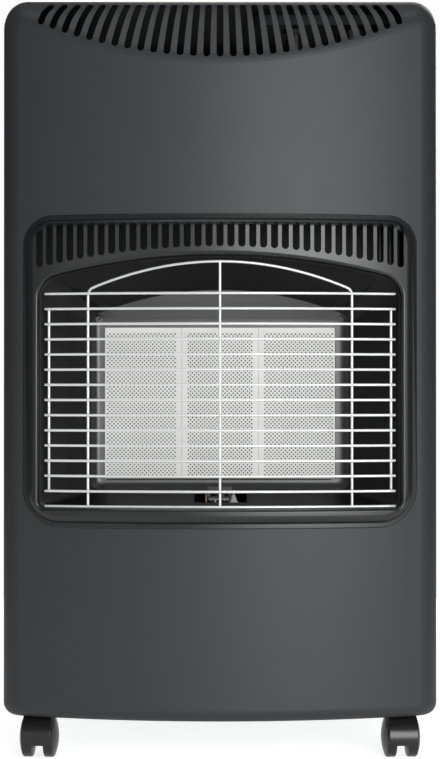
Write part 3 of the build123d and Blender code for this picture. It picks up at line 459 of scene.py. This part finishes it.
def guard_y(x, behind):
    """Y of the guard's bow at x, and so far behind it."""
    along = math.sqrt(GUARD_BOW**2 - x**2)
    return bow_centre - along + behind * GUARD_BOW / along


def select_faces(piece, test):
    """Leaves only the faces that pass a test selected, in face mode."""
    bpy.ops.mesh.select_mode(type="FACE")
    bpy.ops.mesh.select_all(action="DESELECT")
    bpy.ops.object.mode_set(mode="OBJECT")
    for face in piece.data.polygons:
        face.select = test(face)
    bpy.ops.object.mode_set(mode="EDIT")


deselect()
end = (-GUARD_HALF, guard_y(-GUARD_HALF, 0.0), guard_low)
bpy.ops.mesh.primitive_circle_add(vertices=14, radius=WIRE / 2, fill_type="NGON", location=end,
                                  rotation=(0.0, math.pi / 2, -half_turn))
bars = bpy.context.object
bars.name = "guard_bowed_wires"
settle(bars)
bpy.ops.object.mode_set(mode="EDIT")
bpy.ops.mesh.select_all(action="SELECT")
bpy.ops.mesh.spin(steps=40, angle=-2 * half_turn, center=(0.0, bow_centre, guard_low), axis=(0.0, 0.0, 1.0))
bpy.ops.mesh.select_all(action="SELECT")
bpy.ops.mesh.remove_doubles(threshold=0.00001)
bpy.ops.mesh.select_mode(type="EDGE")
bpy.ops.mesh.select_all(action="SELECT")
bpy.ops.mesh.fill_holes(sides=20)
bpy.ops.mesh.select_all(action="SELECT")
bpy.ops.mesh.normals_make_consistent(inside=False)
select_faces(bars, lambda face: len(face.vertices) > 8)
bpy.ops.mesh.bevel(offset=0.5 * MILLIMETRE, segments=3, affect="EDGES")
bpy.ops.object.mode_set(mode="OBJECT")
apply(bars, "ARRAY", count=WIRE_COUNT, use_relative_offset=False, use_constant_offset=True,
      constant_offset_displace=(0.0, 0.0, WIRE_PITCH))
smooth(bars)
bars.data.materials.append(zinc_wire)
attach(bars, "cabinet")
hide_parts("guard_horizontal_wires")


def bent_wire(points, corner, radius):
    """A chain of edges with its sharp corners rounded, given a round section."""
    deselect()
    bpy.ops.mesh.primitive_plane_add(size=MILLIMETRE, location=points[0])
    piece = bpy.context.object
    settle(piece)
    bpy.ops.object.mode_set(mode="EDIT")
    bpy.ops.mesh.select_mode(type="VERT")
    bpy.ops.mesh.select_all(action="SELECT")
    bpy.ops.mesh.merge(type="CENTER")
    for before, after in zip(points, points[1:]):
        bpy.ops.mesh.extrude_region_move(TRANSFORM_OT_translate={"value": Vector(after) - Vector(before)})
    bpy.ops.mesh.select_all(action="DESELECT")
    bpy.ops.object.mode_set(mode="OBJECT")
    for before, turn, after in zip(points, points[1:], points[2:]):
        arriving, leaving = Vector(turn) - Vector(before), Vector(after) - Vector(turn)
        if arriving.angle(leaving) > math.radians(20):
            for vertex in piece.data.vertices:
                vertex.select = vertex.select or (vertex.co - Vector(turn)).length < 0.1 * MILLIMETRE
    bpy.ops.object.mode_set(mode="EDIT")
    bpy.ops.mesh.bevel(offset=corner, segments=6, affect="VERTICES")
    bpy.ops.object.mode_set(mode="OBJECT")
    bpy.ops.object.convert(target="CURVE")
    piece = bpy.context.object
    piece.data.bevel_depth = radius
    piece.data.bevel_resolution = 2
    piece.data.use_fill_caps = True
    bpy.ops.object.convert(target="MESH")
    return bpy.context.object


uprights = []
side_y, middle_y = guard_y(LOOP_X, WIRE), guard_y(0.0, WIRE)
wire_foot = guard_low - WIRE / 2
crown = []
for step in range(-12, 13):
    x = LOOP_X * step / 12
    crown.append((x, guard_y(x, WIRE), LOOP_TOP - (LOOP_TOP - LOOP_SHOULDER) * (step / 12) ** 2))
loop_route = [(-LOOP_X, side_y, wire_foot), *crown, (LOOP_X, side_y, wire_foot)]
uprights.append(bent_wire(loop_route, SHOULDER_BEND, WIRE / 2))
middle_route = [(0.0, middle_y, wire_foot), (0.0, middle_y, LOOP_TOP)]
uprights.append(bent_wire(middle_route, MILLIMETRE, WIRE / 2))
leg_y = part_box("guard_upright_wires")[1].y
for side in (-1, 1):
    x = side * OUTER_X
    y = guard_y(x, WIRE)
    low, high = guard_low + WIRE_PITCH, guard_top - WIRE_PITCH
    corners = [(x, leg_y, low), (x, y, low), (x, y, high), (x, leg_y, high)]
    uprights.append(bent_wire(corners, LEG_BEND, WIRE / 2))
deselect()
for piece in uprights:
    piece.select_set(True)
bpy.context.view_layer.objects.active = uprights[0]
bpy.ops.object.join()
loop = bpy.context.object
loop.name = "guard_upright_loop"
smooth(loop, 50)
loop.data.materials.clear()
loop.data.materials.append(zinc_wire)
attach(loop, "cabinet")
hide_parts("guard_upright_wires")

# a spot weld squeezes the two wires into a small flat bead at every crossing
deselect()
bpy.ops.mesh.primitive_ico_sphere_add(subdivisions=2, radius=1.25 * MILLIMETRE, scale=(1.25, 0.8, 1.25))
bead = bpy.context.object
settle(bead)
beads = []
for x in (-OUTER_X, -LOOP_X, 0.0, LOOP_X, OUTER_X):
    for index in range(WIRE_COUNT):
        if abs(x) == OUTER_X and index in (0, WIRE_COUNT - 1):
            continue
        copy = bead.copy()
        copy.data = bead.data.copy()
        copy.data.transform(Matrix.Translation((x, guard_y(x, WIRE / 2), guard_low + index * WIRE_PITCH)))
        bpy.context.scene.collection.objects.link(copy)
        beads.append(copy)
bpy.data.objects.remove(bead)
deselect()
for copy in beads:
    copy.select_set(True)
bpy.context.view_layer.objects.active = beads[0]
bpy.ops.object.join()
welds = bpy.context.object
welds.name = "guard_spot_welds"
smooth(welds, 60)
welds.data.materials.append(zinc_wire)
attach(welds, "cabinet")

# ---- Pilot group ----------------------------------------------------------
# Under the plaques a folded stainless bracket carries the pilot's level
# barrel, the copper-sheathed thermocouple and the electrode's ceramic cone.

# the bracket's heat tint is painted darker than it is: partly its own tint, partly a painted shade for the
# recess under the plaques
bracket_steel_and_shade = finish("heat_tinted_stainless_and_shade", "#484342", 0.40, (1.0, 0.05), 0.12, 0.05, metallic=1.0)
dress(bracket_steel_and_shade, "pilot_bracket")
pilot_steel = finish("turned_stainless", "#6A6A69", 0.36, (1.5, 0.04), 0.06, 0.04, metallic=1.0)
dress(pilot_steel, "pilot_burner")
copper_sheath = finish("tarnished_copper_sheath", "#77605A", 0.42, (1.0, 0.05), 0.12, 0.05, metallic=1.0)
dress(copper_sheath, "thermocouple")
# the white glaze is painted grey: a painted shade for the recess under the plaques
shaded_glazed_ceramic = finish("glazed_white_ceramic_painted_shade", "#A2A29F", 0.25, (1.0, 0.03), 0.03, 0.03, specular=0.5)
dress(shaded_glazed_ceramic, "spark_electrode")

# ---- Burner body and gas train --------------------------------------------
# The casting behind the plaques, its venturis and the valve are die-cast
# aluminium; the jets are turned brass and the pipes are drawn aluminium tube.

# the cast aluminium is painted darker than bare metal: a painted shade for the dark inside of the casing
shaded_cast_aluminium = finish("die_cast_aluminium_painted_shade", "#7C7C7A", 0.55, (1.2, 0.3), 0.07, 0.06, metallic=1.0)
dress(shaded_cast_aluminium, "burner_body", "gas_valve", "venturi_left", "venturi_centre", "venturi_right")
# the tube is painted darker still: a painted shade that keeps it dark behind the casing's slots
shaded_drawn_aluminium = finish("drawn_aluminium_tube_painted_shade", "#5C5D5E", 0.55, (2.0, 0.04), 0.04, 0.05, metallic=1.0)
dress(shaded_drawn_aluminium, "gas_pipe_left", "gas_pipe_centre", "gas_pipe_right", "pilot_pipe")
turned_brass = finish("turned_brass", "#CFA961", 0.27, (1.2, 0.04), 0.06, 0.04, metallic=1.0)
dress(turned_brass, "injectors")

# ---- Hose tail ------------------------------------------------------------
# The inlet at the valve's rear is turned from hexagon brass. Its tail has four
# shallow barbs that hold the rubber hose.

BARB_PITCH = 5.0 * MILLIMETRE
BARB_DEPTH = 0.7 * MILLIMETRE
BARB_STEP = 0.6 * MILLIMETRE
BARB_COUNT = 4
TAIL_RADIUS = (3.5 * MILLIMETRE, 4.2 * MILLIMETRE)
hose_low, hose_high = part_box("hose_inlet")
hose_axis = (hose_low + hose_high) / 2
tail = copy_of("hose_inlet", "brass_hose_tail")
barbs = [hose_high.y - 2 * MILLIMETRE - BARB_PITCH * step for step in range(BARB_COUNT)]
bpy.ops.object.mode_set(mode="EDIT")
for crest in barbs:
    for cut in (crest, crest - BARB_STEP):
        bpy.ops.mesh.select_all(action="SELECT")
        bpy.ops.mesh.bisect(plane_co=(0.0, cut, 0.0), plane_no=(0.0, 1.0, 0.0))
bpy.ops.object.mode_set(mode="OBJECT")
for vertex in tail.data.vertices:
    across = Vector((vertex.co.x - hose_axis.x, 0.0, vertex.co.z - hose_axis.z))
    groove = any(abs(vertex.co.y - crest + BARB_STEP) < 0.05 * MILLIMETRE for crest in barbs)
    if groove and TAIL_RADIUS[0] < across.length < TAIL_RADIUS[1]:
        vertex.co -= across.normalized() * BARB_DEPTH
smooth(tail, 30)
tail.data.materials.clear()
tail.data.materials.append(turned_brass)
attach(tail, "cabinet")
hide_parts("hose_inlet")

# ---- Tray, shield and rail ------------------------------------------------
# The base tray, the rear rail and the injector bracket are folded from
# galvanised sheet, whose zinc shows as faint spangles about a centimetre
# across. The heat shield is painted black: a painted shade for the dark
# inside of the casing.


def galvanised(name, colour):
    """Hot-dipped sheet: flat crystals of zinc, each a slightly different grey."""
    material = finish(name, colour, 0.42, (2.0, 0.03), 0.03, 0.05, metallic=1.0)
    tree = material.node_tree
    shader = tree.nodes["Principled BSDF"]
    place = add_node(tree, "ShaderNodeTexCoord")
    spangle = add_node(tree, "ShaderNodeTexVoronoi", inputs={"Scale": 1 / (11 * MILLIMETRE)},
                       links={"Vector": (place, "Object")})
    grey = add_node(tree, "ShaderNodeSeparateColor", links={0: (spangle, "Color")})
    tone = add_node(tree, "ShaderNodeMix", {"data_type": "RGBA"}, links={0: (grey, 0)})
    base = srgb(colour)[:3]
    tone.inputs[6].default_value = (*[c * 0.84 for c in base], 1.0)
    tone.inputs[7].default_value = (*[c * 1.12 for c in base], 1.0)
    tree.links.new(tone.outputs[2], shader.inputs["Base Color"])
    return material


galvanised_sheet = galvanised("galvanised_sheet", "#A3A6A8")
dress(galvanised_sheet, "base_tray", "rear_rail", "injector_bracket")

# the shield behind the burner is painted black as a painted shade, so that the slots show dark
painted_shade_black = finish("black_sheet_painted_shade", "#242526", 0.6, (1.0, 0.1), 0.06, 0.05, specular=0.3)
dress(painted_shade_black, "heat_shield")

# ---- Screws, sockets and valve stem ---------------------------------------
# Bright zinc plated steel pieces: the casing screws, the sockets, stems and
# axles of the castors, and the spindle and plunger of the valve.

zinc_plate = finish("zinc_plated_steel", "#B4B7BA", 0.3, (1.0, 0.05), 0.05, 0.05, metallic=1.0)
castors = [name[len("castor_hood_"):] for name in nodes if name.startswith("castor_hood_")]
dress(zinc_plate, "casing_screws", "castor_sockets", "valve_plunger", "valve_spindle",
      *[f"castor_{part}_{key}" for key in castors for part in ("stem", "axle")])

# ---- Knob and igniter -----------------------------------------------------
# The gas knob and the piezo igniter sit in the recess of the top. Both are
# moulded in black phenolic with a fine matt grain.

phenolic = finish("black_moulded_phenolic", "#1B1B1C", 0.38, (0.6, 0.12), 0.05, 0.05)
dress(phenolic, "control_knob", "igniter_button", "igniter_barrel")

# the settings are printed in white and the pointer's notch is filled with white
white_print = finish("white_pad_printing", "#DCDCDA", 0.5, (0.4, 0.05), 0.02, 0.04)
knob_low, knob_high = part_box("control_knob")
knob_middle = (knob_low + knob_high) / 2
recess_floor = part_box("igniter_barrel")[1].z - 2.0 * MILLIMETRE
deselect()
notch = Vector((knob_middle.x, knob_middle.y + 14.0 * MILLIMETRE, knob_high.z - 0.6 * MILLIMETRE))
bpy.ops.mesh.primitive_cube_add(size=1.0, location=notch, scale=Vector((1.5, 9.6, 0.8)) * MILLIMETRE)
pointer = bpy.context.object
pointer.name = "knob_pointer_line"
settle(pointer)
apply(pointer, "BEVEL", width=0.15 * MILLIMETRE, segments=2)
pointer.data.materials.append(white_print)
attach(pointer, "knob")
DIAL_RADIUS = 28.5 * MILLIMETRE
for mark, turn in (("0", 90), ("1", 180), ("2", 270), ("3", 0)):
    out = Vector((math.cos(math.radians(turn)), math.sin(math.radians(turn)), 0.0)) * DIAL_RADIUS
    deselect()
    bpy.ops.object.text_add(location=Vector((knob_middle.x, knob_middle.y, recess_floor)) + out)
    number = bpy.context.object
    number.data.body = mark
    number.data.size = 8.0 * MILLIMETRE
    number.data.align_x, number.data.align_y = "CENTER", "CENTER"
    number.data.extrude = 0.1 * MILLIMETRE
    bpy.ops.object.convert(target="MESH")
    number = bpy.context.object
    number.name = f"dial_number_{mark}"
    settle(number)
    number.data.materials.clear()
    number.data.materials.append(white_print)
    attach(number, "cabinet")

# ---- Castors --------------------------------------------------------------
# Twin-wheel castors moulded in black nylon: a hood over two wheels with domed
# faces, on a steel axle.

nylon = finish("black_moulded_nylon", "#1D1D1E", 0.27, (0.8, 0.08), 0.05, 0.05)
dress(nylon, *[f"castor_hood_{key}" for key in castors],
      *[f"wheel_{hand}_{key}" for key in castors for hand in ("left", "right")])
